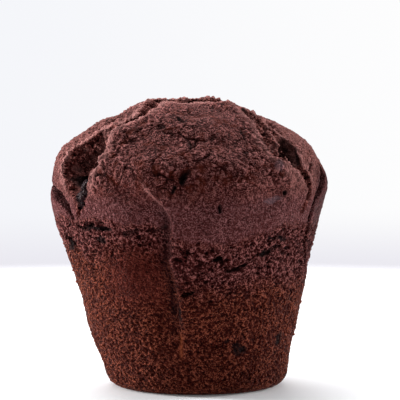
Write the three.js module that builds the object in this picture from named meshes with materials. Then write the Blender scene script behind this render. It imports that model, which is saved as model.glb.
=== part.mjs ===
// A chocolate muffin baked in a folded paper case and stood on its own base: one baked piece.
// Its body tapers to a flat foot, four creases left by the paper run up the sides, and the crust has
// split in a horseshoe round the crown, so that a collar of crust stands round the back of the dome.
//
// Units are millimetres, +Z is up. The foot's flat face lies on z = 0, and the origin is the bottom
// centre of the muffin's bounding box. The front of the muffin faces -Y.
import * as THREE from "three";
import { mergeVertices } from "three/addons/utils/BufferGeometryUtils.js";

// Driving dimensions.
const HEIGHT = 83.35; // foot to the top of the collar of crust
const MOUTH_RADIUS = 39.7; // the widest ring, where the batter rose over the case
const FOOT_RADIUS = 27.2; // the tapered side, carried down to the rounded foot edge
const FOOT_EDGE = 5.5; // radius of the rounded edge round the foot
const LEAN = 3; // how far the foot's centre lies to +X of the crown's
const AROUND = 108; // facets round the muffin
const SIDE_STEPS = 9; // facets up the straight side
const CROWN_STEPS = 31; // facets from the top of the straight side to the middle of the crown

// Heights on the outline, worked out from the whole height.
const CASE_TOP = 0.52 * HEIGHT; // the side is straight up to here
const WIDEST = 0.7 * HEIGHT;
const SHOULDER = 0.85 * HEIGHT;
const CROWN = 0.988 * HEIGHT; // the middle of the dome, a little below the collar behind it

const radians = THREE.MathUtils.degToRad;
const smoothstep = THREE.MathUtils.smoothstep;

// The outline in two paths of radius and height. The first has the flat foot, in one step so that it
// stays one plane, the rounded foot edge and the tapered side. The second has the shoulder and dome.
const SIDE_TOP = new THREE.Vector2(0.935 * MOUTH_RADIUS, CASE_TOP);

function sidePoints() {
  const flatRadius = FOOT_RADIUS - FOOT_EDGE;
  const foot = new THREE.Vector2(flatRadius, 0);
  const corner = new THREE.Vector2(FOOT_RADIUS - 0.15 * FOOT_EDGE, 0);
  const sideBottom = new THREE.Vector2(FOOT_RADIUS, FOOT_EDGE);
  const edge = new THREE.QuadraticBezierCurve(foot, corner, sideBottom);
  const side = new THREE.LineCurve(sideBottom, SIDE_TOP);
  return [new THREE.Vector2(0, 0), ...edge.getSpacedPoints(3), ...side.getSpacedPoints(SIDE_STEPS).slice(1)];
}

function crownPath() {
  const path = new THREE.Path();
  path.moveTo(SIDE_TOP.x, SIDE_TOP.y);
  path.quadraticCurveTo(MOUTH_RADIUS, WIDEST - 6, MOUTH_RADIUS, WIDEST);
  path.quadraticCurveTo(MOUTH_RADIUS, SHOULDER - 3, 0.907 * MOUTH_RADIUS, SHOULDER);
  path.bezierCurveTo(
    0.78 * MOUTH_RADIUS, SHOULDER + 4,
    0.5 * MOUTH_RADIUS, CROWN,
    0, CROWN,
  );
  return path;
}

function outlinePoints() {
  const crown = crownPath().getSpacedPoints(CROWN_STEPS);
  crown[CROWN_STEPS].setX(0);
  return [...sidePoints(), ...crown.slice(1)];
}

// A point on the crown at a bearing in degrees (0 is the front, 90 is +X) and a height.
const crownTable = crownPath().getSpacedPoints(400);
function onCrown(bearing, height) {
  const nearest = crownTable.reduce((best, point) =>
    Math.abs(point.y - height) < Math.abs(best.y - height) ? point : best,
  );
  const angle = radians(bearing);
  return new THREE.Vector3(nearest.x * Math.sin(angle), -nearest.x * Math.cos(angle), nearest.y);
}

// The split in the crust, from the front left over the top and round the back to the front right.
// Each stop has a bearing, a height, and the split's half width and depth there. It is widest at the
// front left, where a piece of crust has lifted off and left a hollow.
const SPLIT = [
  { bearing: -52, height: 55, halfWidth: 2.5, depth: 1 },
  { bearing: -56, height: 64, halfWidth: 6.6, depth: 8.5 },
  { bearing: -58, height: 69.5, halfWidth: 7.4, depth: 9.8 },
  { bearing: -57, height: 74.4, halfWidth: 5.4, depth: 6.5 },
  { bearing: -59, height: 78.4, halfWidth: 3.4, depth: 3.4 },
  { bearing: -82, height: 80.9, halfWidth: 3, depth: 2.6 },
  { bearing: -140, height: 81.5, halfWidth: 3, depth: 2.4 },
  { bearing: -185, height: 81.6, halfWidth: 3, depth: 2.4 },
  { bearing: -225, height: 81.5, halfWidth: 3, depth: 2.4 },
  { bearing: -262, height: 80.6, halfWidth: 3.6, depth: 2.6 },
  { bearing: -289, height: 78.8, halfWidth: 4, depth: 2.8 },
  { bearing: -302, height: 74.2, halfWidth: 4.4, depth: 3.8 },
  { bearing: -306, height: 68.5, halfWidth: 4.6, depth: 5 },
  { bearing: -298, height: 57, halfWidth: 2.5, depth: 1 },
].map((stop) => ({ ...stop, place: onCrown(stop.bearing, stop.height) }));

// How deep the split is at a point: a furrow with a rounded bottom along the line of stops.
function splitDepth(point) {
  let depth = 0;
  const closest = new THREE.Vector3();
  for (let i = 1; i < SPLIT.length; i++) {
    const [from, to] = [SPLIT[i - 1], SPLIT[i]];
    const line = new THREE.Line3(from.place, to.place);
    const along = line.closestPointToPointParameter(point, true);
    line.at(along, closest);
    const halfWidth = THREE.MathUtils.lerp(from.halfWidth, to.halfWidth, along);
    const deepest = THREE.MathUtils.lerp(from.depth, to.depth, along);
    const across = point.distanceTo(closest) / halfWidth;
    depth = Math.max(depth, deepest * Math.max(0, 1 - across * across) ** 1.3);
  }
  return depth;
}

// The creases of the paper: each is a groove beside a raised lap, between two heights.
const CREASES = [
  { bearing: -8, low: 8, high: 54, groove: 1.1, lap: 0.8 },
  { bearing: 68, low: 22, high: 62, groove: 2.2, lap: 0.6 },
  { bearing: 152, low: 10, high: 58, groove: 1.4, lap: 0.8 },
  { bearing: -146, low: 12, high: 60, groove: 1.6, lap: 0.7 },
  { bearing: -70, low: 38, high: 63, groove: 1.6, lap: 0.5 },
];
const CREASE_WIDTH = 9; // degrees, the groove's width round the muffin
const LAP_WIDTH = 26; // degrees, over which the raised lap fades

// Outward relief of the creases at a bearing and a height.
function creaseRelief(bearing, height) {
  let relief = 0;
  for (const crease of CREASES) {
    const turn = THREE.MathUtils.euclideanModulo(bearing - crease.bearing + 180, 360) - 180;
    const rise = smoothstep(height, crease.low, crease.low + 12);
    const fall = 1 - smoothstep(height, crease.high - 8, crease.high);
    const groove = Math.max(0, 1 - (turn / CREASE_WIDTH) ** 2);
    const lap = turn > 0 ? Math.max(0, 1 - turn / LAP_WIDTH) * Math.min(1, turn / CREASE_WIDTH) : 0;
    relief += rise * fall * (crease.lap * lap - crease.groove * groove);
  }
  return relief;
}

// The collar of crust behind the split stands a little above the middle of the dome, and slopes away
// on the left, where the crust has torn.
const COLLAR = { radius: 13.5, width: 5.8, rise: 1.75, leftFall: 0.8 };

function collarRise(point, bearing) {
  const radius = Math.hypot(point.x, point.y);
  const across = (radius - COLLAR.radius) / COLLAR.width;
  const onTop = smoothstep(point.z, WIDEST + 4, SHOULDER + 3);
  const behind = smoothstep(bearing, 50, 85) + smoothstep(-bearing, 60, 95);
  const left = smoothstep(-bearing, 50, 75) * (1 - smoothstep(-bearing, 120, 170));
  const fall = COLLAR.leftFall * left * smoothstep(radius, COLLAR.radius, COLLAR.radius + 8);
  return onTop * (COLLAR.rise * Math.exp(-across * across) * behind - fall);
}

// The front of the dome is rounder than the collar's shoulder, so it is drawn in there.
const FRONT_ROUNDING = { depth: 1.4, reach: 7 };

function frontRounding(bearing, height) {
  const front = 1 - smoothstep(Math.abs(bearing), 28, 50);
  const away = (height - SHOULDER) / FRONT_ROUNDING.reach;
  return FRONT_ROUNDING.depth * front * Math.exp(-away * away);
}

// Gentle lumps that keep the dome and the side from being a true turned shape. They fade at the foot.
function lumpRelief(point) {
  const lumps =
    0.4 * Math.sin(0.11 * point.x + 1.3) * Math.sin(0.13 * point.y + 0.4) +
    0.25 * Math.sin(0.19 * point.x - 0.16 * point.y + 0.21 * point.z);
  return lumps * smoothstep(point.z, FOOT_EDGE, 4 * FOOT_EDGE);
}

// Where a point of the turned shape goes: out or in along its normal, then over by the lean.
function bakedPoint(point, normal) {
  const bearing = THREE.MathUtils.radToDeg(Math.atan2(point.x, -point.y));
  const raised = creaseRelief(bearing, point.z) + collarRise(point, bearing) + lumpRelief(point);
  const relief = raised - frontRounding(bearing, point.z) - splitDepth(point);
  const baked = point.clone().addScaledVector(normal, relief);
  baked.x += LEAN * (1 - smoothstep(point.z, 0, WIDEST));
  return baked;
}

function muffinGeometry() {
  const turned = new THREE.LatheGeometry(outlinePoints(), AROUND);
  turned.rotateX(Math.PI / 2);
  turned.deleteAttribute("uv");
  turned.deleteAttribute("normal");
  const geometry = mergeVertices(turned, 1e-3);
  geometry.computeVertexNormals();
  const places = geometry.getAttribute("position");
  const normals = geometry.getAttribute("normal");
  const point = new THREE.Vector3();
  const normal = new THREE.Vector3();
  for (let i = 0; i < places.count; i++) {
    point.fromBufferAttribute(places, i);
    normal.fromBufferAttribute(normals, i);
    const onFoot = point.z < 1e-3;
    if (onFoot) normal.set(0, 0, 0);
    const baked = bakedPoint(point, normal);
    places.setXYZ(i, baked.x, baked.y, onFoot ? 0 : baked.z);
  }
  geometry.computeBoundingBox();
  const middle = geometry.boundingBox.getCenter(new THREE.Vector3());
  geometry.translate(-middle.x, -middle.y, 0);
  geometry.computeVertexNormals();
  return geometry;
}

function muffinMaterial() {
  return new THREE.MeshStandardMaterial({ color: 0x5a2a20, roughness: 0.75, metalness: 0 });
}

const muffin = new THREE.Mesh(muffinGeometry(), muffinMaterial());
muffin.name = "muffin";

const group = new THREE.Group();
group.name = "chocolate_muffin";
group.add(muffin);

export default group;
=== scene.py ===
# A chocolate muffin on a pale floor. The muffin's shape is worked out as a field of distances on a fine
# grid (turned outline, paper creases, the split round the crown), turned into a mesh, and given its
# pores, crumbs and wrinkles by moving the points of that mesh.
#
# The muffin is worked out in millimetres and made in Blender's metres. The camera, lights and floor are
# in metres. The front of the muffin faces -Y. A bearing is in degrees round the muffin: 0 at the front
# and 90 at +X. A share runs from 0 to 1.
import itertools
import math

import bpy
import numpy as np
import openvdb
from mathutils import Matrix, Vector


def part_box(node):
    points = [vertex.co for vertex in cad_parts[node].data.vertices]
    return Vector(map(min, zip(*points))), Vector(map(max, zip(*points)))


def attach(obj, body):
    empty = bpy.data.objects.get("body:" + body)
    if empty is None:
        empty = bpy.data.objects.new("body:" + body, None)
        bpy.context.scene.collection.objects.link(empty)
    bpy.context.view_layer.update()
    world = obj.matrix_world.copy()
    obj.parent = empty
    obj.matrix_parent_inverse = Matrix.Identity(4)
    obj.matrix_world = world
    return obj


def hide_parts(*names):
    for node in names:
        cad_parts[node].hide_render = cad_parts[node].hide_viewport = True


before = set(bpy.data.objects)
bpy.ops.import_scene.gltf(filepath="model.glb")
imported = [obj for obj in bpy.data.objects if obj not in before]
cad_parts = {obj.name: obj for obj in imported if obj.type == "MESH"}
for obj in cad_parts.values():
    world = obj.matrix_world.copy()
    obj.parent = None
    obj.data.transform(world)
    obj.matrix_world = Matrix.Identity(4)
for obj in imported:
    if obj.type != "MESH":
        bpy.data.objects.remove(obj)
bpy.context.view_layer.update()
MUFFIN_LOW, MUFFIN_HIGH = (np.array(corner, dtype=float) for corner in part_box("muffin"))

MM = 0.001
SIZE = (MUFFIN_HIGH - MUFFIN_LOW) / MM
HEIGHT = SIZE[2]
MOUTH = 0.5 * SIZE[0]  # radius of the widest ring
FOOT = 0.685 * MOUTH  # radius of the tapered side carried down to the foot's rounded edge
FOOT_EDGE = 5.5  # radius of the rounded edge round the foot
LEAN = 3.0  # how far the foot's middle lies to +X of the crown's
CASE_TOP = 0.52 * HEIGHT  # the side is straight up to here
WIDEST = 0.7 * HEIGHT
SHOULDER = 0.85 * HEIGHT
CROWN = 0.988 * HEIGHT  # the middle of the dome, a little below the collar behind it
VOXEL = 0.55  # spacing of the grid that the shape is worked out on
FAR = 9.0  # stands for any distance too long to matter
TINY = 1e-9  # keeps a division away from zero


# ---------------------------------------------------------------- small maths

def smoothstep(value, low, high):
    share = np.clip((value - low) / (high - low), 0.0, 1.0)
    return share * share * (3.0 - 2.0 * share)


def plateau(value, low, full, fall, high):
    """Rises from 0 at `low` to 1 at `full`, and falls from 1 at `fall` to 0 at `high`."""
    return smoothstep(value, low, full) * (1.0 - smoothstep(value, fall, high))


def hump(value, middle, width):
    """1 in the middle, and nearly 0 beyond two widths from it."""
    return np.exp(-((value - middle) / width) ** 2)


def mix(first, second, share):
    return first + (second - first) * share


# The noise and the scattered points repeat after this many cells each way. Both are powers of two.
NOISE_CELLS = 64
SCATTER_CELLS = 32


def lumps(points, size, seed):
    """Smooth noise from -1 to 1 whose lumps are about `size` across."""
    lattice = np.random.default_rng(seed).uniform(-1.0, 1.0, (NOISE_CELLS,) * 3).astype(np.float32)
    scaled = points / np.float32(size) + np.float32(2 * NOISE_CELLS)
    cell = np.floor(scaled).astype(np.int32)
    local = (scaled - cell).astype(np.float32)
    local = local * local * (3.0 - 2.0 * local)
    total = np.zeros(len(points), dtype=np.float32)
    for corner in itertools.product((0, 1), repeat=3):
        weight = np.ones(len(points), dtype=np.float32)
        for axis in range(3):
            weight *= local[:, axis] if corner[axis] else 1.0 - local[:, axis]
        spot = (cell + np.array(corner, dtype=np.int32)) & (NOISE_CELLS - 1)
        total += weight * lattice[spot[:, 0], spot[:, 1], spot[:, 2]]
    return total


def nearest_scattered(points, size, seed):
    """Distances to the two nearest of many scattered points about `size` apart, as shares of `size`."""
    shape = (SCATTER_CELLS, SCATTER_CELLS, SCATTER_CELLS, 3)
    jitter = np.random.default_rng(seed).uniform(0.0, 1.0, shape).astype(np.float32)
    scaled = (points / size + 2.0 * SCATTER_CELLS).astype(np.float32)
    cell = np.floor(scaled).astype(np.int32)
    first = np.full(len(points), FAR, dtype=np.float32)
    second = first.copy()
    for step in itertools.product((-1, 0, 1), repeat=3):
        other = cell + np.array(step, dtype=np.int32)
        wrapped = other & (SCATTER_CELLS - 1)
        seedling = other + jitter[wrapped[:, 0], wrapped[:, 1], wrapped[:, 2]]
        gap = ((scaled - seedling) ** 2).sum(axis=1)
        second = np.minimum(second, np.maximum(first, gap))
        first = np.minimum(first, gap)
    return np.sqrt(first), np.sqrt(second)


def dots(points, size, seed, inner, outer):
    """Round dots scattered about `size` apart: 1 in the middle, and 0 beyond `outer` shares of `size`."""
    return 1.0 - smoothstep(nearest_scattered(points, size, seed)[0], inner, outer)


def cracks(points, size, seed, width):
    """A net of lines between cells of about `size`: 1 on a line, and 0 beyond `width` from it."""
    first, second = nearest_scattered(points, size, seed)
    return 1.0 - smoothstep((second - first) * size, 0.2 * width, width)


def bearing_of(points):
    """The bearing of each point from the muffin's own middle at that height."""
    return np.degrees(np.arctan2(points[:, 0] - lean_at(points[:, 2]), -points[:, 1]))


def turn_between(bearing, other):
    """Degrees from one bearing to another, from -180 to 180."""
    return (bearing - other + 180.0) % 360.0 - 180.0


def lean_at(height):
    """How far the muffin's middle lies to +X at a height."""
    return LEAN * (1.0 - smoothstep(height, 0.0, WIDEST))


def jittered(points, amount, size, seed):
    """The points shifted by smooth noise, which roughens whatever is measured from them."""
    shifts = [amount * lumps(points, size, seed + axis) for axis in range(3)]
    return points + np.stack(shifts, axis=1)


# ---------------------------------------------------------------- the turned outline

def bezier(points, count):
    """A curve of `count` points, drawn towards the given points."""
    t = np.linspace(0.0, 1.0, count)[:, None]
    points = [np.array(point, dtype=float) for point in points]
    while len(points) > 1:
        points = [mix(a, b, t) for a, b in zip(points, points[1:])]
    return points[0]


def outline():
    """Radius and height of the turned shape, from the middle of the foot to the top of the crown."""
    flat = FOOT - FOOT_EDGE
    side_top = (0.935 * MOUTH, CASE_TOP)
    shoulder = (0.907 * MOUTH, SHOULDER)
    return np.vstack([
        [(0.0, 0.0)],
        bezier([(flat, 0.0), (FOOT - 0.15 * FOOT_EDGE, 0.0), (FOOT, FOOT_EDGE)], 9),
        bezier([(FOOT, FOOT_EDGE), side_top], 3)[1:],
        bezier([side_top, (MOUTH, WIDEST - 6.0), (MOUTH, WIDEST)], 13)[1:],
        bezier([(MOUTH, WIDEST), (MOUTH, SHOULDER - 3.0), shoulder], 13)[1:],
        bezier([shoulder, (0.78 * MOUTH, SHOULDER + 4.0), (0.5 * MOUTH, CROWN), (0.0, CROWN)], 31)[1:],
    ])


OUTLINE = outline()

# The table of distances to the outline: its spacing, and its lowest and highest radius and height.
TABLE_STEP = 0.4
TABLE_LOW = (0.0, -6.0)
TABLE_HIGH = (MOUTH + 12.0, HEIGHT + 8.0)


def outline_table():
    """Distance to the outline over radius and height: negative inside the muffin."""
    radii, heights = (np.arange(low, high, TABLE_STEP) for low, high in zip(TABLE_LOW, TABLE_HIGH))
    grid = np.stack(np.meshgrid(radii, heights, indexing="ij"), axis=-1).reshape(-1, 2)
    nearest = np.full(len(grid), np.inf)
    crossings = np.zeros(len(grid), dtype=int)
    for start, end in zip(OUTLINE, OUTLINE[1:]):
        edge = end - start
        share = np.clip(((grid - start) @ edge) / (edge @ edge), 0.0, 1.0)
        gap = grid - start - share[:, None] * edge
        nearest = np.minimum(nearest, (gap ** 2).sum(axis=1))
        rises = (start[1] <= grid[:, 1]) != (end[1] <= grid[:, 1])
        climb = edge[1] if abs(edge[1]) > TINY else TINY
        crossing_radius = start[0] + (grid[:, 1] - start[1]) / climb * edge[0]
        crossings += rises & (crossing_radius > grid[:, 0])
    distance = np.sqrt(nearest) * np.where(crossings % 2 == 1, -1.0, 1.0)
    return distance.reshape(len(radii), len(heights)).astype(np.float32)


TABLE = outline_table()


def turned_distance(points):
    """Distance from the plain turned shape, read from the table."""
    radius = np.hypot(points[:, 0] - lean_at(points[:, 2]), points[:, 1])
    place = (np.stack([radius, points[:, 2]], axis=1) - TABLE_LOW) / TABLE_STEP
    # A point off the table is read at the table's edge.
    place = np.clip(place, 0.0, np.array(TABLE.shape) - 1.001)
    cell = place.astype(np.int32)
    part = place - cell
    lower = mix(TABLE[cell[:, 0], cell[:, 1]], TABLE[cell[:, 0] + 1, cell[:, 1]], part[:, 0])
    upper = mix(TABLE[cell[:, 0], cell[:, 1] + 1], TABLE[cell[:, 0] + 1, cell[:, 1] + 1], part[:, 0])
    return mix(lower, upper, part[:, 1])


# ---------------------------------------------------------------- places on the surface

def placed(bearing, radius, height):
    """A place by its bearing, its distance from the muffin's middle and its height."""
    angle = math.radians(bearing)
    return np.array([radius * math.sin(angle) + float(lean_at(height)), -radius * math.cos(angle), height])


def on_side(bearing, height):
    """A place on the side or shoulder, by its bearing and height."""
    # The flat foot and the middle of the dome are left out, so that heights only go up.
    side = OUTLINE[(OUTLINE[:, 0] > 8.0) & (OUTLINE[:, 1] > 0.5)]
    return placed(bearing, float(np.interp(height, side[:, 1], side[:, 0])), height)


def on_dome(bearing, radius):
    """A place on the dome, by its bearing and its distance from the middle."""
    dome = OUTLINE[OUTLINE[:, 1] > WIDEST][::-1]
    return placed(bearing, radius, float(np.interp(radius, dome[:, 0], dome[:, 1])))


def outward(place):
    """The outward direction of the turned shape at a place."""
    steps = 0.5 * np.eye(3)
    slope = turned_distance(place + steps) - turned_distance(place - steps)
    return slope / np.linalg.norm(slope)


# ---------------------------------------------------------------- cuts: the split, creases and holes

DOME_MIDDLE = np.array([0.0, -8.0, 70.0])  # an undercut tips towards here
CUT_REACH = 4.0  # how far outside a cut its distances are still worked out


class Cut:
    """A furrow along a chain of stops. A stop is a place, a half width and a depth.

    `undercut` tips the furrow's bottom towards the dome's middle, in degrees, which leaves the dome
    with an overhanging edge and shows the broken crumb on the far side.
    """

    def __init__(self, stops, undercut=0.0):
        self.places = np.array([place for place, _, _ in stops])
        self.sizes = np.array([(half_width, depth) for _, half_width, depth in stops])
        ways = np.gradient(self.places, axis=0) if len(stops) > 1 else np.array([[0.0, 0.0, 1.0]])
        self.outs = np.zeros_like(self.places)
        angle = math.radians(undercut)
        for i, (place, way) in enumerate(zip(self.places, ways)):
            out = outward(place)
            side = np.cross(way, out)
            side /= np.linalg.norm(side)
            if side @ (DOME_MIDDLE - place) < 0.0:
                side = -side
            self.outs[i] = math.cos(angle) * out - math.sin(angle) * side

    def distance(self, points):
        """Distance from the cut's wall: negative within the cut."""
        reach = float(self.sizes.max()) + CUT_REACH
        result = np.full(len(points), FAR, dtype=np.float32)
        last = len(self.places) - 1
        for i in range(max(last, 1)):
            j = min(i + 1, last)
            low = np.minimum(self.places[i], self.places[j]) - reach
            high = np.maximum(self.places[i], self.places[j]) + reach
            near = np.flatnonzero(((points > low) & (points < high)).all(axis=1))
            if not len(near):
                continue
            close = points[near].astype(np.float64)
            edge = self.places[j] - self.places[i]
            squared_length = max(float(edge @ edge), TINY)
            share = np.clip(((close - self.places[i]) @ edge) / squared_length, 0.0, 1.0)[:, None]
            gap = close - self.places[i] - share * edge
            half_width, depth = mix(self.sizes[i], self.sizes[j], share).T
            down = -(gap * mix(self.outs[i], self.outs[j], share)).sum(axis=1)
            total = (gap ** 2).sum(axis=1)
            flat = np.sqrt(np.maximum(total - down ** 2, 0.0))
            reached = np.sqrt((flat / half_width) ** 2 + (down / depth) ** 2)
            wall = (reached - 1.0) * np.minimum(half_width, depth)
            result[near] = np.minimum(result[near], wall)
        return result


# The split round the crown, from the front left over the back to the front right. At the front left
# a piece of crust has torn away and left a hollow.
SPLIT = Cut([
    (on_side(-51, 52.6), 0.6, 1.0),
    (on_side(-50, 56.0), 1.5, 3.4),
    (on_side(-50, 59.5), 3.0, 6.0),
    (on_side(-53, 63.6), 5.6, 8.6),
    (on_side(-54.5, 67.4), 7.2, 10.0),
    (on_side(-56, 71.2), 7.2, 10.0),
    (on_dome(-55, 31.5), 4.8, 8.6),
    (on_dome(-52, 27.4), 2.2, 5.8),
    (on_dome(-51, 23.0), 1.4, 4.2),
    (on_dome(-49, 17.6), 1.8, 4.6),
    (on_dome(-72, 12.0), 1.5, 4.2),
    (on_dome(-130, 10.5), 1.2, 3.6),
    (on_dome(-180, 10.0), 1.2, 3.6),
    (on_dome(-230, 10.5), 1.4, 4.0),
    (on_dome(-258, 13.8), 2.8, 6.4),
    (on_dome(-278, 17.2), 2.6, 6.2),
    (on_dome(-289, 20.4), 1.7, 4.4),
    (on_dome(-299, 24.2), 1.2, 3.0),
    (on_dome(-307, 28.5), 1.2, 3.0),
    (on_dome(-313, 33.5), 1.4, 3.4),
    (on_side(-314, 69.5), 1.1, 2.6),
    (on_side(-312, 66.0), 0.5, 0.8),
], undercut=24)

# The tear on the right, outside the split, with a deep pit where two strands of crust meet.
RIGHT_TEAR = Cut([
    (on_dome(66, 24.0), 0.7, 1.8),
    (on_dome(60, 29.0), 1.0, 3.2),
    (on_dome(56, 34.0), 1.8, 7.0),
    (on_side(55, 70.4), 3.3, 10.0),
    (on_side(56, 67.8), 2.2, 6.5),
    (on_side(58, 65.4), 0.9, 2.4),
    (on_side(62, 62.8), 1.5, 3.8),
    (on_side(64, 60.4), 0.8, 2.0),
    (on_side(61, 57.0), 0.5, 1.1),
    (on_side(57.5, 53.0), 0.3, 0.6),
], undercut=15)

# Furrows between stretched strands of crust: three beside the tear on the right, and three on the
# collar on the left.
STRANDS = [
    Cut([(on_dome(60, 23.5), 0.6, 1.2), (on_dome(54, 27.0), 1.0, 2.6), (on_dome(49, 32.5), 1.1, 2.8),
         (on_side(47, 70.3), 0.6, 1.2)]),
    Cut([(on_dome(88, 19.0), 0.7, 1.6), (on_dome(79, 22.5), 1.2, 3.2), (on_dome(71, 26.5), 1.0, 2.6),
         (on_dome(66, 31.0), 0.6, 1.3)]),
    Cut([(on_dome(92, 29.0), 0.4, 0.9), (on_side(81, 71.5), 0.8, 1.9), (on_side(72, 67.5), 0.7, 1.6),
         (on_side(66, 64.5), 0.5, 0.9)]),
    Cut([(on_dome(-78, 19.5), 0.5, 1.0), (on_dome(-73, 22.6), 1.0, 2.4), (on_dome(-66, 25.2), 0.7, 1.6)]),
    Cut([(on_dome(-86, 30.0), 0.5, 1.0), (on_dome(-78, 28.4), 0.9, 2.0), (on_dome(-71, 29.0), 0.7, 1.4)]),
    Cut([(on_side(-95, 69.0), 0.5, 1.0), (on_side(-86, 70.5), 0.9, 1.8), (on_dome(-77, 34.0), 0.6, 1.2)]),
]

# The crease of the paper on the right side, with the thin fin of cake outside it.
RIGHT_CREASE = Cut([
    (on_side(80, 65.5), 0.6, 1.5),
    (on_side(78, 62.5), 1.1, 3.8),
    (on_side(74, 59.0), 1.3, 4.8),
    (on_side(69, 55.2), 1.3, 4.8),
    (on_side(66.5, 50.6), 1.1, 4.2),
    (on_side(67, 46.0), 0.8, 3.2),
    (on_side(71, 38.0), 0.6, 2.4),
    (on_side(79, 31.0), 0.4, 0.9),
])

# The crease under the hollow on the left.
LEFT_CREASE = Cut([
    (on_side(-86, 60.6), 0.4, 0.8),
    (on_side(-77, 58.8), 1.5, 4.4),
    (on_side(-66, 56.6), 2.0, 5.6),
    (on_side(-60, 53.8), 1.7, 4.6),
    (on_side(-56, 51.4), 0.7, 1.4),
])

# Two creases of the paper at the back.
BACK_CREASES = [
    Cut([
        (on_side(152, 62.0), 0.6, 1.0),
        (on_side(151, 54.0), 1.1, 3.2),
        (on_side(153, 40.0), 0.9, 2.6),
        (on_side(155, 24.0), 0.5, 0.9),
    ]),
    Cut([
        (on_side(-141, 64.0), 0.6, 1.0),
        (on_side(-144, 56.0), 1.0, 3.0),
        (on_side(-143, 44.0), 0.9, 2.6),
        (on_side(-146, 30.0), 0.5, 0.9),
    ]),
]

# Holes left by bubbles, and short cracks in the crust.
HOLES = [Cut(stops) for stops in [
    # The largest hole at the front of the crust, with smaller ones round it.
    [(on_side(-1.2, 63.0), 0.9, 2.4), (on_side(-0.4, 64.4), 1.4, 3.0), (on_side(1.6, 65.8), 0.7, 2.0)],
    [(on_side(-5.2, 59.8), 0.45, 1.4), (on_side(-4.4, 61.2), 0.6, 1.5)],
    [(on_side(13.5, 54.4), 0.35, 1.2), (on_side(13.9, 56.2), 0.45, 1.3)],
    [(on_side(46, 59.0), 0.9, 2.2)],
    # Slits in the side.
    [(on_side(10, 41.0), 0.8, 1.8), (on_side(14, 41.6), 0.6, 1.4)],
    [(on_side(-4.0, 31.0), 0.8, 1.8), (on_side(2.5, 31.8), 0.6, 1.5)],
    # The deepest parts of the hollow on the left, of the split under the collar, and of the tear.
    [(placed(-54, 32.6, 62.8), 1.7, 2.6), (placed(-59.5, 35.4, 61.6), 1.7, 2.6)],
    [(on_dome(118, 13.6), 1.2, 3.2), (on_dome(100, 15.4), 2.1, 5.4), (on_dome(76, 19.8), 0.9, 2.6)],
    [(placed(61, 31.5, 72.0), 1.2, 2.4), (placed(60, 34.0, 69.6), 2.0, 3.4),
     (placed(58, 36.0, 67.4), 1.5, 2.6)],
    # Short cracks in the front of the dome.
    [(on_dome(0.6, 28.6), 0.4, 1.2), (on_dome(1.5, 31.5), 0.6, 1.6), (on_dome(3.0, 34.0), 0.5, 1.3)],
    [(on_dome(-8, 18.0), 0.6, 1.1), (on_dome(-3, 20.2), 0.9, 1.6), (on_dome(2, 22.0), 0.6, 1.1)],
    # Holes in the coarse band.
    [(on_side(-67, 44.8), 1.2, 2.6), (on_side(-60, 42.6), 0.9, 2.0)],
    [(on_side(-52, 48.6), 0.5, 1.2), (on_side(-44, 49.6), 0.6, 1.4), (on_side(-35, 48.8), 0.4, 1.0)],
    [(on_side(-14, 48.8), 0.5, 1.2), (on_side(-9, 50.2), 0.8, 1.8)],
    [(on_side(-28, 47.6), 0.6, 1.4), (on_side(-21, 48.4), 0.7, 1.6)],
    [(on_side(35, 42.0), 0.8, 1.8), (on_side(43, 42.8), 0.8, 1.8)],
    [(on_side(18, 37.6), 0.45, 1.2), (on_side(27, 38.4), 0.5, 1.3)],
    [(on_side(38, 46.2), 0.5, 1.2), (on_side(48, 45.2), 0.6, 1.4)],
    # Holes at the back.
    [(on_dome(170, 28.0), 0.9, 1.8)],
    [(on_side(120, 60.0), 0.8, 1.6)],
    [(on_side(-170, 50.0), 0.9, 1.8)],
    [(on_side(-120, 46.0), 0.8, 1.5)],
    [(on_dome(-100, 30.0), 0.8, 1.5)],
]]

# Patches of the surface are a place and the radii across and along.
#
# Painted sheen: pale highlights painted on the crust, at the knob beside the tear and at the rim of the
# dent below it.
SHEENS = [
    (on_side(43, 66.8), 1.8, 2.2),
    (on_side(39, 57.2), 3.6, 1.0),
]

# Painted shadow: near-black patches at the foot of the hollow on the left and deep in the tear on the
# right.
PAINTED_SHADOWS = [
    (placed(-59, 34.5, 61.6), 4.2, 1.6),
    (placed(-50, 33.5, 62.6), 2.8, 2.0),
    (placed(58, 34.5, 69.0), 3.3, 4.0),
]

# Melted chocolate that has run down the foot of the hollow on the left. It is a ridge, not a cut.
MELTED = Cut([
    (placed(-53.5, 35.2, 60.8), 1.3, 1.3),
    (placed(-52.5, 36.4, 58.8), 1.8, 1.8),
    (placed(-51.5, 37.7, 56.6), 1.3, 1.3),
    (placed(-50.5, 38.6, 54.6), 0.8, 0.8),
])

# Chocolate chips that have melted into the surface.
CHIPS = [
    (on_side(-9, 50.2), 1.7, 2.6),
    (on_side(-66, 42.5), 1.8, 1.6),
    (on_side(-40.5, 45.6), 2.0, 1.5),
    (on_side(-8, 24.5), 2.0, 3.0),
    (on_side(23, 15.6), 1.2, 1.4),
    (on_side(18, 16.6), 1.0, 0.8),
    (on_side(26, 13.6), 2.4, 1.6),
    (on_side(55, 15.6), 2.2, 1.7),
    (on_side(110, 38.0), 2.4, 1.7),
    (on_side(165, 20.0), 2.8, 1.9),
    (on_side(-160, 34.0), 2.2, 1.6),
    (on_side(-110, 22.0), 2.6, 1.8),
    (on_dome(-140, 30.0), 2.0, 2.0),
]

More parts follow.
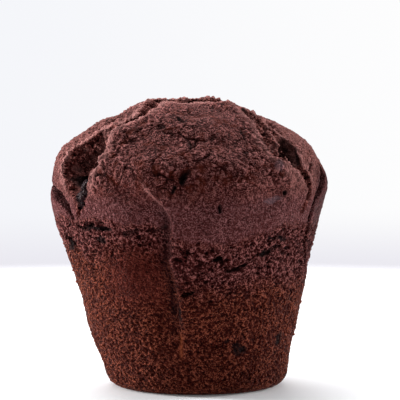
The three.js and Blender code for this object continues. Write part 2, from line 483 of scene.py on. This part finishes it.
# Smooth bumps and dents: a place, a radius, and how far the surface stands out.
BUMPS = [
    (on_dome(-80, 25.0), 6.0, 1.3),
    (on_side(45.5, 67.2), 2.6, 2.0),
    (on_side(41.0, 52.5), 5.0, 1.8),
    (on_side(38.0, 58.0), 3.4, -1.6),
    (on_side(47.0, 62.0), 4.0, 1.0),
    (on_dome(-42, 29.0), 5.0, 1.4),
    (on_dome(18, 25.0), 6.0, 1.2),
    (on_dome(-8, 31.0), 4.5, -1.0),
    (on_dome(-25, 18.0), 5.0, 0.9),
    (on_dome(38, 20.0), 5.0, 0.9),
    (on_dome(5, 15.0), 4.0, -0.8),
    (on_side(25.0, 64.0), 5.0, 1.0),
    (on_side(8.0, 56.0), 4.5, -0.9),
    (on_side(-22.0, 66.0), 4.5, 0.9),
    (on_side(-30.0, 60.0), 6.0, 0.5),
    (on_dome(120, 30.0), 6.0, 0.9),
    (on_side(140, 66.0), 5.0, -0.8),
    (on_dome(-150, 30.0), 7.0, 0.9),
    (on_side(-100, 66.0), 6.0, 0.7),
]


# ---------------------------------------------------------------- raised and sunk areas

def bump_relief(points):
    relief = np.zeros(len(points), dtype=np.float32)
    for place, radius, rise in BUMPS:
        relief += rise * np.exp(-((points - place) ** 2).sum(axis=1) / radius ** 2)
    return relief


# The front crease as heights, and how far it lies to +X there. It runs straight up the side, and then
# off to the left on the crust.
FRONT_CREASE = [
    (8.0, -1.0),
    (17.0, -1.2),
    (27.7, -1.7),
    (33.3, -2.8),
    (39.8, -4.4),
    (45.0, -4.2),
    (51.4, -4.0),
    (53.0, -4.4),
    (55.6, -5.9),
    (57.5, -7.8),
    (59.5, -10.1),
    (64.0, -13.0),
]
FRONT_HALF = 60.0  # the front crease is looked for this many degrees either side of the front
LAP_RISE = 1.2  # the lap of cake to the right of the front crease
DIP_DEPTH = 2.1  # the dip to its left

# Fins of cake left by the other folds: a bearing, the rise, and the lowest and highest points.
FINS = [
    (82.0, 1.5, 46.0, 70.0),
    (-78.0, 0.7, 44.0, 66.0),
    (163.0, 1.3, 26.0, 62.0),
    (-133.0, 1.2, 30.0, 64.0),
]
FIN_WIDTH = 8.0  # degrees


def past_front_crease(points):
    """How far each point is to the right of the front crease."""
    heights, across = zip(*FRONT_CREASE)
    return points[:, 0] - np.interp(points[:, 2], heights, across)


def crease_relief(points, bearing):
    """How far the surface stands out beside the creases of the paper."""
    z = points[:, 2]
    past = past_front_crease(points)
    lap = LAP_RISE * plateau(past, -0.6, 0.4, 3.0, 24.0)
    dip = DIP_DEPTH * plateau(past, -14.0, -1.2, -0.8, 0.3)
    fade = plateau(z, 10.0, 28.0, 56.0, 63.0)
    relief = np.where(np.abs(bearing) < FRONT_HALF, fade * (lap - dip), 0.0)
    for middle, rise, low, high in FINS:
        fin = hump(turn_between(bearing, middle), 0.0, FIN_WIDTH)
        relief = relief + rise * fin * plateau(z, low, low + 14.0, high - 8.0, high)
    return relief


COLLAR_RADIUS = 13.5
COLLAR_WIDTH = 5.8
COLLAR_RISE = 2.5
COLLAR_LEFT_FALL = 0.8


def collar_rise(points, bearing):
    """The collar of crust behind the split stands a little above the middle of the dome.

    It slopes away on the left, where the crust has torn.
    """
    radius = np.hypot(points[:, 0], points[:, 1])
    behind = smoothstep(bearing, 50.0, 85.0) + smoothstep(-bearing, 65.0, 125.0)
    ring = COLLAR_RISE * hump(radius, COLLAR_RADIUS, COLLAR_WIDTH) * behind
    left = plateau(-bearing, 50.0, 75.0, 120.0, 170.0) * smoothstep(radius, 14.0, 22.0)
    on_top = smoothstep(points[:, 2], WIDEST + 4.0, SHOULDER + 3.0)
    return on_top * (ring - COLLAR_LEFT_FALL * left)


ROUNDING_DEPTH = 1.4
ROUNDING_REACH = 7.0


def dome_rounding(points, bearing):
    """How far the front of the dome is drawn in, where it is rounder than the collar's shoulder."""
    front = 1.0 - smoothstep(np.abs(bearing), 28.0, 50.0)
    return ROUNDING_DEPTH * front * hump(points[:, 2], SHOULDER, ROUNDING_REACH)


CROWN_STOP = 6  # the split's stops before this one are below the crown, up the hollow
NO_EDGE = 99.0  # a radius outside the muffin, where no part of the surface is past the split


def on_collar(points):
    """1 where a point is on the collar's side of the split, and 0 on the dome and the front."""
    split = SPLIT.places[CROWN_STOP:]
    turns = np.degrees(np.unwrap(np.arctan2(split[:, 0], -split[:, 1])))
    radii = np.hypot(split[:, 0], split[:, 1])
    bearing = np.degrees(np.arctan2(points[:, 0], -points[:, 1]))
    behind = np.where(bearing > turns[0] + 1.0, bearing - 360.0, bearing)
    edge = np.interp(-behind, -turns, radii)
    edge = np.where(behind < turns[-1], NO_EDGE, edge)
    return smoothstep(np.hypot(points[:, 0], points[:, 1]) - edge, 0.0, 1.0)


def ragged_points(points):
    """The points shifted for the ragged edges of torn cake."""
    return jittered(points, amount=0.8, size=3.2, seed=21)


def melted_distance(points):
    """Distance from the uneven ridge of melted chocolate: negative inside it."""
    return MELTED.distance(jittered(points, amount=0.9, size=1.8, seed=26))


def muffin_field(points):
    """Distance from the muffin's surface at each point: negative inside."""
    bearing = bearing_of(points)
    raised = crease_relief(points, bearing) + collar_rise(points, bearing) - dome_rounding(points, bearing)
    uneven = 0.7 * lumps(points, 15.0, 11) + 0.4 * lumps(points, 6.0, 12)
    above_foot = smoothstep(points[:, 2], 2.0, 14.0)
    distance = turned_distance(points) - raised - above_foot * uneven - bump_relief(points)
    ragged = ragged_points(points)
    less_ragged = mix(points, ragged, 0.5)
    crumbly = 0.6 * lumps(points, 1.8, 24) + 0.4 * lumps(points, 0.9, 25)
    for cut in [SPLIT, RIGHT_TEAR, *STRANDS]:
        distance = np.maximum(distance, -(cut.distance(ragged) + crumbly))
    for cut in [RIGHT_CREASE, LEFT_CREASE, *BACK_CREASES]:
        distance = np.maximum(distance, -cut.distance(less_ragged))
    for cut in HOLES:
        distance = np.maximum(distance, -(cut.distance(ragged) + 0.5 * crumbly))
    distance = np.minimum(distance, melted_distance(points))
    return np.maximum(distance, -points[:, 2])


# ---------------------------------------------------------------- mesh

PIECE_NAME = "muffin_body"
GRID_MARGIN = (4.0, 3.0)  # how far the grid reaches past the muffin's side and top
DEEPEST = -14.0  # the field is worked out from this deep in the plain turned shape
HIGHEST = 5.0  # to this far outside it
FIELD_LIMIT = 3.0  # the field is cut off at this distance either way


def field_mesh():
    """The muffin's surface as points and four-sided faces."""
    reach = MOUTH + GRID_MARGIN[0]
    across = np.arange(-reach, reach, VOXEL, dtype=np.float32)
    up = np.arange(-3.0 * VOXEL, HEIGHT + GRID_MARGIN[1], VOXEL, dtype=np.float32)
    points = np.stack(np.meshgrid(across, across, up, indexing="ij"), axis=-1).reshape(-1, 3)
    plain = turned_distance(points)
    values = np.where(plain < 0.0, -FIELD_LIMIT, FIELD_LIMIT).astype(np.float32)
    near = np.flatnonzero((plain > DEEPEST) & (plain < HIGHEST))
    values[near] = np.clip(muffin_field(points[near]), -FIELD_LIMIT, FIELD_LIMIT)
    grid = openvdb.FloatGrid(FIELD_LIMIT)
    grid.copyFromArray(values.reshape(len(across), len(across), len(up)))
    corners, faces = grid.convertToQuads(0.0)
    return corners * VOXEL + np.array([across[0], across[0], up[0]]), faces


def make_piece(corners, faces):
    """The muffin's object, with the faces from the grid divided once more."""
    mesh = bpy.data.meshes.new("coarse")
    mesh.from_pydata((corners * MM).tolist(), [], faces.tolist())
    mesh.update()
    piece = bpy.data.objects.new(PIECE_NAME, mesh)
    bpy.context.scene.collection.objects.link(piece)
    smoother = piece.modifiers.new("finer", "SUBSURF")
    smoother.levels = 1
    smoother.render_levels = 1
    graph = bpy.context.evaluated_depsgraph_get()
    finer = bpy.data.meshes.new_from_object(piece.evaluated_get(graph))
    piece.modifiers.clear()
    piece.data = finer
    bpy.data.meshes.remove(mesh)
    finer.name = PIECE_NAME
    return piece


def read_vectors(items, name):
    """A vector property of all the items, one row each."""
    flat = np.empty(3 * len(items), dtype=np.float32)
    items.foreach_get(name, flat)
    return flat.reshape(-1, 3)


def read_integers(items, name):
    """A whole-number property of all the items."""
    values = np.empty(len(items), dtype=np.int32)
    items.foreach_get(name, values)
    return values


def set_attribute(mesh, name, values):
    layer = mesh.attributes.new(name, "FLOAT", "POINT")
    layer.data.foreach_set("value", np.ascontiguousarray(values, dtype=np.float32))


# ---------------------------------------------------------------- where each kind of surface is

# Heights where one kind of surface gives way to the next, left and right of the front crease. The side
# has even crumb, the band above it is coarse, the skin is smooth, and the dome is wrinkled and cracked.
BAND_BOTTOM = (43.5, 33.5)
SKIN_BOTTOM = (50.0, 44.5)
SKIN_BOTTOM_RISE = 4.5  # the skin's lower edge climbs again at the far right
DOME_FADE = (55.0, 64.0)  # the skin turns into the dome between these heights
FIN_DOME_FADE = (61.0, 65.0)  # and between these on the fins

# The smooth patch to the left of the front crease, where the paper pressed on the cake.
PRESSED_MIDDLE = (-13.5, 35.5)
PRESSED_REACH = 9.0


def layer_shares(points, bearing):
    """How much each point belongs to the dome, the skin, the coarse band and the side's crumb."""
    z = points[:, 2]
    wander = 1.6 * lumps(points, 8.0, 31) + 1.3 * lumps(points, 2.2, 32) + 0.5 * lumps(points, 1.0, 33)
    right = smoothstep(past_front_crease(points), -1.0, 1.0) * (np.abs(bearing) < 90.0)
    far_right = smoothstep(bearing, 22.0, 52.0)
    skin_bottom = mix(SKIN_BOTTOM[0], SKIN_BOTTOM[1] + SKIN_BOTTOM_RISE * far_right, right)
    band_bottom = mix(*BAND_BOTTOM, right)
    on_fin = smoothstep(np.abs(bearing), 66.0, 76.0)
    fade_low, fade_high = (mix(low, high, on_fin) for low, high in zip(DOME_FADE, FIN_DOME_FADE))
    above_skin = smoothstep(z + wander, fade_low, fade_high)
    above_band = smoothstep(z + wander, skin_bottom - 1.2, skin_bottom + 1.8)
    above_crumb = smoothstep(z + 1.5 * wander, band_bottom - 6.0, band_bottom + 3.0)
    return {
        "dome": above_skin,
        "skin": above_band * (1.0 - above_skin),
        "band": (1.0 - above_band) * above_crumb,
        "crumb": (1.0 - above_band) * (1.0 - above_crumb),
    }


def front_crease_shares(points, bearing):
    """Painted shade in the front crease's fold, the pale seam at its foot, and a painted highlight on its
    lip up on the crust.
    """
    z = points[:, 2]
    past = past_front_crease(points)
    front = np.abs(bearing) < FRONT_HALF
    uneven = past + 0.8 * lumps(points, 2.5, 34)
    # Painted shade to the left of the front crease.
    crease_shade = front * hump(past, -1.3, 1.9) * plateau(z, 14.0, 26.0, 53.0, 60.0)
    seam = front * hump(past, -0.2, 0.4) * plateau(z, 10.5, 13.0, 17.0, 20.0)
    # Painted highlight: a thin pale line along the front crease's lip on the crust.
    lip_highlight = front * hump(uneven, -0.3, 0.45) * plateau(z, 53.0, 57.0, 61.0, 64.0)
    return crease_shade, seam, lip_highlight


def hole_shade_share(points, ragged, inside):
    """Painted shade: where a point is in a hole or a crease, or in a painted shadow patch."""
    less_ragged = mix(points, ragged, 0.5)
    from_hole = np.min([hole.distance(ragged) for hole in HOLES], axis=0)
    from_crease = np.minimum(LEFT_CREASE.distance(less_ragged), RIGHT_CREASE.distance(less_ragged))
    from_dark = np.minimum(from_hole, from_crease + 0.2)
    painted_shadow = patch_share(points, PAINTED_SHADOWS) * smoothstep(inside, 0.8, 2.4)
    return np.maximum(1.0 - smoothstep(from_dark, -0.2, 0.35), painted_shadow)


def edge_highlight_share(points, from_split, lip_highlight):
    """Painted highlight along the split's edge, partly paler dried crust, weaker on the right, and a
    painted highlight on the lip of the front crease.
    """
    x, _, z = points.T
    beside = hump(from_split, 0.9, 1.1) * smoothstep(z, 56.0, 66.0)
    return np.maximum(beside * mix(1.0, 0.5, smoothstep(x, 4.0, 14.0)), 0.35 * lip_highlight)


def surface_zones(points):
    """Shares of each kind of surface at each point."""
    x, y, z = points.T
    bearing = bearing_of(points)
    inside = -turned_distance(points)
    ragged = ragged_points(points)
    from_split = np.minimum(SPLIT.distance(ragged), RIGHT_TEAR.distance(ragged))
    torn = 1.0 - smoothstep(from_split, -0.2, 0.8)
    crease_shade, seam, lip_highlight = front_crease_shares(points, bearing)
    zones = layer_shares(points, bearing)
    # Painted sheen: the crust on the collar is lightened.
    zones["collar"] = on_collar(points) * zones["dome"]
    # Painted highlight along the split's edge and the crease's lip, partly paler dried crust.
    zones["edge"] = edge_highlight_share(points, from_split, lip_highlight)
    zones["seam"] = seam
    for name in zones:
        zones[name] = zones[name] * (1.0 - torn)
    from_pressed = ((x - PRESSED_MIDDLE[0]) ** 4 + (z - PRESSED_MIDDLE[1]) ** 4) / PRESSED_REACH ** 4
    zones["pressed"] = np.exp(-from_pressed) * (y < 0.0)
    # Painted shade on the fin to the right of the right crease.
    zones["fin"] = plateau(bearing, 67.0, 73.0, 96.0, 120.0) * plateau(z, 30.0, 42.0, 62.0, 67.0)
    zones["torn"] = torn
    # Painted shade: darker the deeper a point lies inside the plain turned shape.
    zones["recess_shade"] = smoothstep(inside, 2.0, 6.5)
    zones["near"] = 1.0 - smoothstep(from_split, 3.0, 13.0)
    zones["crease_shade"] = crease_shade
    # Painted shade in holes and creases, and painted shadow patches.
    zones["hole"] = hole_shade_share(points, ragged, inside)
    zones["chip"] = patch_share(points, CHIPS)
    # Painted sheen on the crust.
    zones["sheen"] = patch_share(points, SHEENS)
    zones["melted"] = 1.0 - smoothstep(melted_distance(points), 0.2, 0.7)
    return zones


def patch_share(points, patches):
    """How much each point belongs to one of the patches."""
    ragged = jittered(points, amount=0.9, size=2.0, seed=51)
    share = np.zeros(len(points), dtype=np.float32)
    for place, across, along in patches:
        gap = ragged - place
        reach = np.sqrt((gap[:, 0] ** 2 + gap[:, 1] ** 2) / across ** 2 + (gap[:, 2] / along) ** 2)
        share = np.maximum(share, 1.0 - smoothstep(reach, 0.6, 1.1))
    return share


FOLD_SPACING = 2.3  # from one fold of the crust to the next


def wrinkles(points):
    """Uneven folds in the crust that run along the split: on the collar, and on the top of the dome."""
    from_split = SPLIT.distance(jittered(points, amount=1.2, size=4.0, seed=61))
    waves = np.abs(np.sin(from_split * (np.pi / FOLD_SPACING))) - 0.6
    beside = plateau(from_split, 0.3, 1.5, 4.5, 8.0)
    past_split = on_collar(points)
    collar = past_split * smoothstep(points[:, 2], 62.0, 68.0)
    dome_top = 0.35 * (1.0 - past_split) * smoothstep(points[:, 2], 79.0, 81.0)
    return waves * beside * (collar + dome_top) * smoothstep(lumps(points, 6.0, 62), -0.4, 0.4)


# How far each texture moves each kind of surface outward. All of the surface counts as "all".
RELIEF = {
    "crumbs": {"all": 0.12, "side": 0.13, "open": 0.3, "dome": 0.06, "granular": 0.14},
    "pores": {"all": -0.08, "side": -0.26, "open": -0.3, "dome": -0.04, "granular": -0.1},
    "bubbles": {"band": -1.0, "torn": -0.8, "side": -0.25, "granular": -0.5},
    "grains": {"granular": 0.5, "edge": 0.1},
    "stuck": {"side": 0.5, "band": 0.3},
    "cracks": {"dome": -0.45},
}
WRINKLE_RISE = 0.6
HOLE_CALM = 0.6  # how much of the relief is taken away in a hole


def relief_textures(points):
    """The textures that the relief is made of, as shares. Crumbs run from about -1 to 1."""
    flattened = points * np.array([1.0, 1.0, 1.4])
    uneven = jittered(points, amount=1.6, size=3.0, seed=47)
    return {
        "crumbs": 0.55 * lumps(points, 0.45, 44) + 0.55 * lumps(points, 0.75, 45),
        "pores": dots(flattened, 0.95, 41, 0.2, 0.62),
        "bubbles": dots(flattened, 2.3, 42, 0.1, 0.42) * smoothstep(lumps(points, 2.6, 51), -0.5, 0.5),
        "grains": dots(points, 1.7, 43, 0.1, 0.6),
        "stuck": dots(points, 4.2, 49, 0.06, 0.16),
        "cracks": cracks(uneven, 6.5, 50, 0.5) * smoothstep(lumps(points, 6.0, 48), -0.2, 0.4),
    }


def surface_relief(points, zones, textures):
    """How far the fine mesh moves outward at each point."""
    surfaces = zones | {
        "all": 1.0,
        "open": np.clip(zones["band"] + zones["torn"], 0.0, 1.0),
        "side": zones["crumb"] * (1.0 - 0.6 * zones["pressed"]),
    }
    relief = np.zeros(len(points))
    for texture, amounts in RELIEF.items():
        relief += textures[texture] * sum(rise * surfaces[name] for name, rise in amounts.items())
    relief *= 1.0 - HOLE_CALM * zones["hole"]
    relief += WRINKLE_RISE * wrinkles(points)
    return relief * mix(0.3, 1.0, smoothstep(points[:, 2], 0.2, 3.0))


def roughen(piece):
    """Moves the fine mesh in and out to give it pores, crumbs and wrinkles, and marks the zones on it."""
    mesh = piece.data
    points = read_vectors(mesh.vertices, "co") / MM
    zones = surface_zones(points)
    zones["granular"] = zones["dome"] * zones["near"] * smoothstep(lumps(points, 5.0, 46), -0.7, 0.2)
    textures = relief_textures(points)
    relief = surface_relief(points, zones, textures)
    moved = points + read_vectors(mesh.vertex_normals, "vector") * relief[:, None]
    moved[:, 2] = np.maximum(moved[:, 2], 0.0)
    mesh.vertices.foreach_set("co", (moved * MM).astype(np.float32).ravel())
    mesh.update()
    # Painted glints: pale specks on the raised grains near the split.
    zones["grain_glint"] = textures["grains"] * zones["granular"] * smoothstep(textures["crumbs"], -0.4, 0.4)
    for name in [*ZONE_SHADES, *TINTS]:
        set_attribute(mesh, name, zones[name])
    # The small relief's height, which the material turns into painted shade in pits and painted highlights
    # on raised crumbs.
    set_attribute(mesh, "relief", np.clip(0.65 + 0.9 * relief, 0.0, 1.0))


CHART_LIMIT = 1.15  # how far out a face's corners may lie: 1 is the cube's edge, where charts meet
CHART_FILL = 0.47  # how far out that is in the map, from the middle of a chart that is 1 across


def unwrap(piece):
    """Six square charts, one for each side of a cube round the muffin, in a map for the finish."""
    mesh = piece.data
    towards = read_vectors(mesh.vertices, "co") / MM - np.array([0.0, 0.0, 0.5 * HEIGHT])
    face_start = read_integers(mesh.polygons, "loop_start")
    face_size = read_integers(mesh.polygons, "loop_total")
    corner_towards = towards[read_integers(mesh.loops, "vertex_index")]
    face_towards = np.add.reduceat(corner_towards, face_start, axis=0)
    chart_axis = np.abs(face_towards).argmax(axis=1)
    chart_sign = np.sign(np.take_along_axis(face_towards, chart_axis[:, None], axis=1))[:, 0]
    axis = np.repeat(chart_axis, face_size)
    sign = np.repeat(chart_sign, face_size)
    depth = np.abs(np.take_along_axis(corner_towards, axis[:, None], axis=1))[:, 0]
    across = np.take_along_axis(corner_towards, ((axis + 1) % 3)[:, None], axis=1)[:, 0] / depth
    up = np.take_along_axis(corner_towards, ((axis + 2) % 3)[:, None], axis=1)[:, 0] / depth
    spread = CHART_FILL / math.atan(CHART_LIMIT)
    column = axis + 0.5 + np.arctan(across) * spread
    row = (sign < 0.0) + 0.5 + np.arctan(up) * spread
    layer = mesh.uv_layers.new(name="OFBake")
    places = np.stack([column / 3.0, row / 2.0], axis=1)
    layer.data.foreach_set("uv", places.astype(np.float32).ravel())


# ---------------------------------------------------------------- material

def colour(red, green, blue):
    """A colour given as 0 to 255 screen values, in the linear values that shaders take."""
    shares = [value / 255.0 for value in (red, green, blue)]
    linear = [share / 12.92 if share <= 0.04045 else ((share + 0.055) / 1.055) ** 2.4 for share in shares]
    return (*linear, 1.0)


SHADE_STOPS = (0.1, 0.6, 0.95)  # where the low, middle and high shades lie on the small relief


class Nodes:
    """A short way to write node trees: add() makes a node, sets its inputs and links to others."""

    def __init__(self, tree):
        self.tree = tree
        self.tree.nodes.clear()

    def add(self, kind, settings=None, **inputs):
        """A new node. In the name of an input, an underscore stands for a space."""
        node = self.tree.nodes.new(kind)
        for name, value in (settings or {}).items():
            setattr(node, name, value)
        for name, value in inputs.items():
            self.join(node.inputs[name.replace("_", " ")], value)
        return node

    def join(self, socket, value):
        if isinstance(value, bpy.types.NodeSocket):
            self.tree.links.new(value, socket)
        else:
            socket.default_value = value

    def share(self, name):
        """The attribute of that name, read from the mesh."""
        return self.add("ShaderNodeAttribute", {"attribute_name": name}).outputs["Fac"]

    def blend(self, factor, first, second):
        node = self.add("ShaderNodeMix", {"data_type": "RGBA"})
        self.join(node.inputs[0], factor)
        self.join(node.inputs[6], first)
        self.join(node.inputs[7], second)
        return node.outputs[2]

    def math(self, way, first, second):
        node = self.add("ShaderNodeMath", {"operation": way})
        self.join(node.inputs[0], first)
        self.join(node.inputs[1], second)
        return node.outputs[0]

    def band(self, value, low, high, to_low=0.0, to_high=1.0):
        """Turns a value smoothly from `to_low`, at `low` or below, into `to_high`, at `high` or above."""
        node = self.add("ShaderNodeMapRange", {"interpolation_type": "SMOOTHSTEP"})
        self.join(node.inputs["Value"], value)
        for name, number in zip(("From Min", "From Max", "To Min", "To Max"), (low, high, to_low, to_high)):
            node.inputs[name].default_value = number
        return node.outputs["Result"]

    def shades(self, height, three_shades):
        """The low, middle and high shade, picked by the height of the small relief."""
        node = self.add("ShaderNodeValToRGB", Fac=height)
        elements = node.color_ramp.elements
        elements.new(0.5)
        for element, place, shade in zip(elements, SHADE_STOPS, three_shades):
            element.position = place
            element.color = colour(*shade)
        return node.outputs["Color"]

    def noise(self, where, size_mm, detail=3.0):
        node = self.add("ShaderNodeTexNoise", Scale=1.0 / (size_mm * MM), Detail=detail)
        self.join(node.inputs["Vector"], where)
        return node.outputs["Fac"]

    def cells(self, where, size_mm):
        """Distance from the nearest of many scattered points, as a share of `size_mm`."""
        node = self.add("ShaderNodeTexVoronoi", Scale=1.0 / (size_mm * MM))
        self.join(node.inputs["Vector"], where)
        return node.outputs["Distance"]


# Shades of the side's crumb, then of each zone over it: low, middle and high. Low is painted shade in pores
# and pits, high is a painted highlight on raised crumbs, middle is the cake's own colour.
CRUMB_SHADES = ((22, 1, 0), (66, 20, 13), (146, 76, 56))
ZONE_SHADES = {
    "dome": ((24, 1, 0), (62, 19, 16), (160, 98, 94)),
    "skin": ((40, 10, 10), (82, 37, 36), (138, 87, 87)),
    "band": ((18, 0, 0), (70, 25, 23), (158, 96, 92)),
    "pressed": ((34, 5, 3), (70, 22, 16), (112, 50, 40)),
    "torn": ((24, 3, 3), (92, 38, 34), (172, 108, 100)),
}

# Single colours laid over the shades, in this order: how strongly, and the colour.
TINTS = {
    # Painted sheen on the collar.
    "collar": (0.4, (150, 98, 92)),
    # Painted glints on the grains.
    "grain_glint": (0.45, (176, 122, 116)),
    # Painted highlight along the split's edge and the crease's lip, partly paler crust.
    "edge": (0.75, (190, 132, 126)),
    "seam": (0.7, (150, 74, 44)),
    "sheen": (0.32, (140, 116, 126)),
    # Painted shade on the fin on the right.
    "fin": (0.45, (46, 16, 18)),
    # Painted shade in the front crease.
    "crease_shade": (0.6, (30, 9, 12)),
    # Painted shade in recesses.
    "recess_shade": (0.4, (18, 9, 11)),
    # Painted shade in holes and creases, and painted shadow.
    "hole": (0.92, (10, 3, 4)),
    "chip": (0.85, (14, 8, 10)),
    "melted": (0.85, (24, 6, 18)),
}
WARM_CRUST = (92, 34, 20)  # redder patches on the dome


def cake_colour(n, where, fine, specks, pores):
    """Purple-brown crust on the dome and redder crumb on the side, with painted shade in the pores and
    painted highlights on the raised crumbs.
    """
    # The height of the small relief, with finer noise than the mesh can hold, picks the shade: low is
    # painted shade, high is a painted highlight.
    patchy = n.band(n.noise(where, 5.0, detail=1.0), 0.4, 0.6, 0.45, 1.0)
    height = n.math("ADD", n.share("relief"), n.math("MULTIPLY", n.band(fine, 0.3, 0.7, -0.3, 0.3), patchy))
    height = n.math("ADD", height, n.band(specks, 0.3, 0.7, -0.12, 0.12))
    height = n.math("ADD", height, n.band(pores, 0.1, 0.4, -0.3, 0.05))
    base = n.shades(height, CRUMB_SHADES)
    for zone, shades in ZONE_SHADES.items():
        base = n.blend(n.share(zone), base, n.shades(height, shades))
    warmth = n.band(n.noise(where, 3.6), 0.5, 0.66, 0.0, 0.6)
    base = n.blend(n.math("MULTIPLY", warmth, n.share("dome")), base, colour(*WARM_CRUST))
    for zone, (strength, tint) in TINTS.items():
        base = n.blend(n.math("MULTIPLY", n.share(zone), strength), base, colour(*tint))
    return base


def cake_material():
    """Chocolate cake: dull all over, but for the melted chocolate, which shines a little."""
    material = bpy.data.materials.new("chocolate_cake")
    material.use_nodes = True
    n = Nodes(material.node_tree)
    where = n.add("ShaderNodeTexCoord").outputs["Object"]
    fine = n.noise(where, 0.37, detail=1.0)
    specks = n.noise(where, 0.9, detail=2.0)
    pores = n.cells(where, 0.62)
    rise = n.math("ADD", n.math("MULTIPLY", fine, 0.8), specks)
    rise = n.math("ADD", rise, n.math("MULTIPLY", pores, 0.5))
    bump = n.add("ShaderNodeBump", Strength=1.0, Distance=0.0011, Height=rise).outputs["Normal"]
    base = cake_colour(n, where, fine, specks, pores)
    melted = n.share("melted")
    shader = n.add("ShaderNodeBsdfPrincipled", Base_Color=base, Normal=bump)
    rough = n.math("SUBTRACT", n.band(fine, 0.3, 0.7, 0.5, 0.7), n.math("MULTIPLY", melted, 0.2))
    n.join(shader.inputs["Roughness"], rough)
    n.join(shader.inputs["Specular IOR Level"], n.band(melted, 0.0, 1.0, 0.04, 0.2))
    n.add("ShaderNodeOutputMaterial", Surface=shader.outputs["BSDF"])
    return material


FLOOR_RADIUS = 0.34
FLOOR_FADE = 0.27  # the floor fades out from here to its edge


def floor_material():
    """A pale sheet whose far edge fades softly into the background."""
    material = bpy.data.materials.new("pale_floor")
    material.use_nodes = True
    n = Nodes(material.node_tree)
    where = n.add("ShaderNodeTexCoord").outputs["Object"]
    radius = n.add("ShaderNodeVectorMath", {"operation": "LENGTH"}, Vector=where).outputs["Value"]
    sheet = n.add("ShaderNodeBsdfPrincipled", Base_Color=(0.9, 0.9, 0.91, 1.0), Roughness=0.6)
    sheet.inputs["Emission Color"].default_value = (1.0, 1.0, 1.0, 1.0)
    sheet.inputs["Emission Strength"].default_value = 0.08
    sheet.inputs["Specular IOR Level"].default_value = 0.2
    clear = n.add("ShaderNodeBsdfTransparent")
    edge = n.add("ShaderNodeMixShader")
    n.join(edge.inputs[0], n.band(radius, FLOOR_FADE, FLOOR_RADIUS))
    n.join(edge.inputs[1], sheet.outputs[0])
    n.join(edge.inputs[2], clear.outputs[0])
    n.add("ShaderNodeOutputMaterial", Surface=edge.outputs[0])
    return material


# ---------------------------------------------------------------- studio

MIDDLE = (0.0, 0.0, 0.5 * HEIGHT * MM)

# Square lights, all aimed at the muffin's middle: a name, a place, a width and a power in watts.
LIGHTS = [
    ("left_back", (-0.65, 0.1, 0.2), 0.2, 6.8),
    ("right_back", (0.65, 0.15, 0.22), 0.2, 3.2),
    ("overhead", (-0.08, 0.3, 0.78), 0.6, 7.2),
    ("key", (-0.42, -0.12, 0.66), 0.08, 0.5),
]


def make_floor():
    """A pale round floor that fades into the light background."""
    bpy.ops.mesh.primitive_circle_add(vertices=128, radius=FLOOR_RADIUS, fill_type="NGON")
    floor = bpy.context.object
    floor.name = "floor"
    floor.data.materials.append(floor_material())


def make_world():
    """A white studio. The camera sees a pale wall, with a darker strip below its foot.

    The muffin isn't lit by that wall but by a dim front and a bright back.
    """
    world = bpy.data.worlds.new("studio")
    world.use_nodes = True
    n = Nodes(world.node_tree)
    towards = n.add("ShaderNodeTexCoord").outputs["Generated"]
    ways = n.add("ShaderNodeSeparateXYZ", Vector=towards).outputs
    wall = n.blend(n.band(ways["X"], -0.08, 0.08), (0.91, 0.92, 0.955, 1.0), (0.98, 0.98, 0.985, 1.0))
    backdrop = n.blend(n.band(ways["Z"], -0.112, -0.088), (0.82, 0.81, 0.87, 1.0), wall)
    light = n.blend(n.band(ways["Y"], -0.7, 0.6), (0.19, 0.19, 0.2, 1.0), (0.7, 0.71, 0.74, 1.0))
    seen = n.add("ShaderNodeLightPath").outputs["Is Camera Ray"]
    background = n.add("ShaderNodeBackground", Color=n.blend(seen, light, backdrop), Strength=1.0)
    n.add("ShaderNodeOutputWorld", Surface=background.outputs[0])
    bpy.context.scene.world = world


def make_light(name, place, width, power):
    data = bpy.data.lights.new(name, "AREA")
    data.size = width
    data.energy = power
    light = bpy.data.objects.new(name, data)
    light.location = place
    light.rotation_euler = direction_euler(np.array(MIDDLE) - np.array(place))
    bpy.context.scene.collection.objects.link(light)


def direction_euler(aim):
    """The rotation that points a camera or light, which look along their own -Z, along `aim`."""
    flat = math.hypot(aim[0], aim[1])
    return (math.atan2(flat, -aim[2]), 0.0, math.atan2(-aim[0], aim[1]))


CAMERA_DISTANCE = 0.9
CAMERA_ELEVATION = math.radians(5.0)
CAMERA_TARGET = np.array([4.0, 0.0, 0.654 * HEIGHT]) * MM
CAMERA_LENS = 275.5  # millimetres, on a sensor 36 mm wide


def make_camera():
    """A long lens a little above the muffin, straight in front of it."""
    away = np.array([0.0, -math.cos(CAMERA_ELEVATION), math.sin(CAMERA_ELEVATION)])
    data = bpy.data.cameras.new("camera")
    data.sensor_width = 36.0
    data.lens = CAMERA_LENS
    data.clip_end = 20.0
    camera = bpy.data.objects.new("camera", data)
    camera.location = CAMERA_TARGET + CAMERA_DISTANCE * away
    camera.rotation_euler = direction_euler(-away)
    bpy.context.scene.collection.objects.link(camera)
    bpy.context.scene.camera = camera


def make_muffin():
    """The whole muffin, which stands for the CAD's plain solid."""
    piece = make_piece(*field_mesh())
    roughen(piece)
    unwrap(piece)
    piece.data.shade_smooth()
    piece.data.materials.append(cake_material())
    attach(piece, "root")
    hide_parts("muffin")


make_camera()
make_muffin()
make_floor()
make_world()
for light in LIGHTS:
    make_light(*light)

bpy.context.scene.view_settings.view_transform = "Standard"
